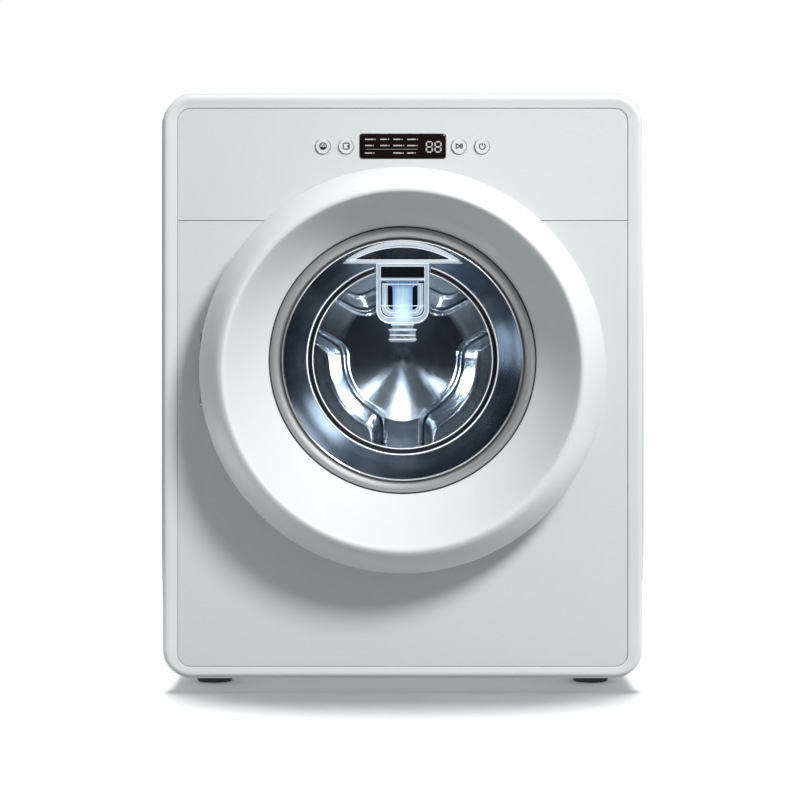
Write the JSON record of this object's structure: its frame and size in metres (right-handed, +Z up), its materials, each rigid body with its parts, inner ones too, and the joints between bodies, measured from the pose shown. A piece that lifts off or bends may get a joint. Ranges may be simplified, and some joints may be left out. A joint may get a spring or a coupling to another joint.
{
  "type": "front-loading washing machine",
  "caption": "Compact front-loading washing machine with a dished round door, glass bowl, sprung tub and a belt-driven drum.",
  "frame": {"origin": "on the floor, below the middle of the whole machine's box", "axes": "front faces -Y, +X to the right of someone facing the front, +Z up"},
  "size_m": [0.445, 0.4116, 0.552],
  "materials": {
    "white_paint": "satin white enamel",
    "panel_paint": "satin light grey-white",
    "frame_gloss": "smooth white moulding",
    "door_gloss": "glossy white moulding",
    "satin_trim": "satin grey trim",
    "bowl_glass": "clear pressed glass",
    "clear_plastic": "clear moulding",
    "blue_guide": "pale blue light guide",
    "drum_steel": "polished and brushed stainless",
    "plain_steel": "zinc-plated steel",
    "cast_alloy": "as-cast aluminium",
    "inner_plastic": "filled polypropylene",
    "dark_plastic": "black moulding",
    "display": "dark smoked window",
    "button_white": "satin white caps",
    "board": "green circuit board",
    "grey_rubber": "grey gasket rubber",
    "black_rubber": "black rubber",
    "concrete": "cast concrete"
  },
  "bodies": {
    "cabinet": {"cabinet_wrap": "white_paint", "top_cover": "white_paint", "front_frame": "frame_gloss", "control_fascia": "panel_paint", "front_panel": "panel_paint", "base_frame": "inner_plastic", "cross_rail": "plain_steel", "rear_cover": "white_paint", "display_window": "display", "control_board": "board", "hinge_bracket": "plain_steel", "hinge_pin": "plain_steel", "door_lock": "dark_plastic", "inlet_valve": "inner_plastic", "inlet_duct": "black_rubber", "drain_pump": "dark_plastic", "drain_hose": "black_rubber", "cord_gland": "black_rubber", "damper_cylinder_left": "dark_plastic", "damper_cylinder_right": "dark_plastic", "suspension_spring_left": "plain_steel", "suspension_spring_right": "plain_steel", "door_gasket": "grey_rubber", "sump_hose": "black_rubber"},
    "door": {"door_ring": "door_gloss", "door_back_ring": "inner_plastic", "glass_trim_ring": "satin_trim", "door_glass": "bowl_glass", "water_tray": "clear_plastic", "water_chute": "clear_plastic", "water_nozzle": "clear_plastic", "chute_light": "blue_guide", "hinge_arm": "plain_steel"},
    "latch": {"latch_hook": "plain_steel"},
    "tub": {"tub_front": "inner_plastic", "tub_rear": "inner_plastic", "counterweight": "concrete", "motor_housing": "cast_alloy", "drive_belt": "black_rubber", "heater_element": "plain_steel", "bearing_front": "plain_steel", "bearing_rear": "plain_steel", "damper_rod_left": "plain_steel", "damper_rod_right": "plain_steel"},
    "drum": {"drum_shell": "drum_steel", "drum_back": "drum_steel", "drum_spider": "cast_alloy", "lifter_1": "inner_plastic", "lifter_2": "inner_plastic", "lifter_3": "inner_plastic", "drum_pulley": "cast_alloy"},
    "motor_rotor": {"motor_pulley": "plain_steel"},
    "levelling_foot_front_left": {"levelling_foot_front_left": "black_rubber"},
    "levelling_foot_front_right": {"levelling_foot_front_right": "black_rubber"},
    "levelling_foot_rear_left": {"levelling_foot_rear_left": "black_rubber"},
    "levelling_foot_rear_right": {"levelling_foot_rear_right": "black_rubber"},
    "heat_button": {"heat_button": "button_white"},
    "course_button": {"course_button": "button_white"},
    "start_pause_button": {"start_pause_button": "button_white"},
    "power_button": {"power_button": "button_white"}
  },
  "joints": [
    {"name": "door_hinge", "type": "hinge", "parent": "cabinet", "child": "door", "pos_m": [-0.182, -0.15475, 0.297], "axis": [0, 0, -1], "range_deg": [0, 110]},
    {"name": "latch_pivot", "type": "hinge", "parent": "door", "child": "latch", "pos_m": [0.15, -0.15225, 0.297], "axis": [0, 0, 1], "range_deg": [0, 10], "stiffness_Nm_per_rad": 0.05, "springref_deg": -11.46},
    {"name": "tub_bounce", "type": "slide", "parent": "cabinet", "child": "tub", "axis": [0, 0, 1], "range_m": [-0.005, 0.005], "stiffness_N_per_m": 12000, "springref_m": 0.00724, "deforming": ["suspension_spring_left", "suspension_spring_right", "sump_hose", "door_gasket"]},
    {"name": "drum_spin", "type": "hinge", "parent": "tub", "child": "drum", "pos_m": [0, 0.11775, 0.307], "axis": [0, 1, 0], "continuous": true},
    {"name": "motor_spin", "type": "hinge", "parent": "tub", "child": "motor_rotor", "pos_m": [0.11098, 0.15575, 0.09827], "axis": [0, 1, 0], "continuous": true},
    {"name": "heat_button_press", "type": "slide", "parent": "cabinet", "child": "heat_button", "axis": [0, 1, 0], "range_m": [0, 0.0012], "stiffness_N_per_m": 400, "springref_m": -0.001},
    {"name": "course_button_press", "type": "slide", "parent": "cabinet", "child": "course_button", "axis": [0, 1, 0], "range_m": [0, 0.0012], "stiffness_N_per_m": 400, "springref_m": -0.001},
    {"name": "start_pause_button_press", "type": "slide", "parent": "cabinet", "child": "start_pause_button", "axis": [0, 1, 0], "range_m": [0, 0.0012], "stiffness_N_per_m": 400, "springref_m": -0.001},
    {"name": "power_button_press", "type": "slide", "parent": "cabinet", "child": "power_button", "axis": [0, 1, 0], "range_m": [0, 0.0012], "stiffness_N_per_m": 400, "springref_m": -0.001},
    {"name": "levelling_foot_front_left_screw", "type": "slide", "parent": "cabinet", "child": "levelling_foot_front_left", "axis": [0, 0, 1], "range_m": [-0.008, 0]},
    {"name": "levelling_foot_front_right_screw", "type": "slide", "parent": "cabinet", "child": "levelling_foot_front_right", "axis": [0, 0, 1], "range_m": [-0.008, 0]},
    {"name": "levelling_foot_rear_left_screw", "type": "slide", "parent": "cabinet", "child": "levelling_foot_rear_left", "axis": [0, 0, 1], "range_m": [-0.008, 0]},
    {"name": "levelling_foot_rear_right_screw", "type": "slide", "parent": "cabinet", "child": "levelling_foot_rear_right", "axis": [0, 0, 1], "range_m": [-0.008, 0]}
  ],
  "couplings": [
    {"joint": "motor_spin", "follows": "drum_spin", "ratio": 10}
  ]
}
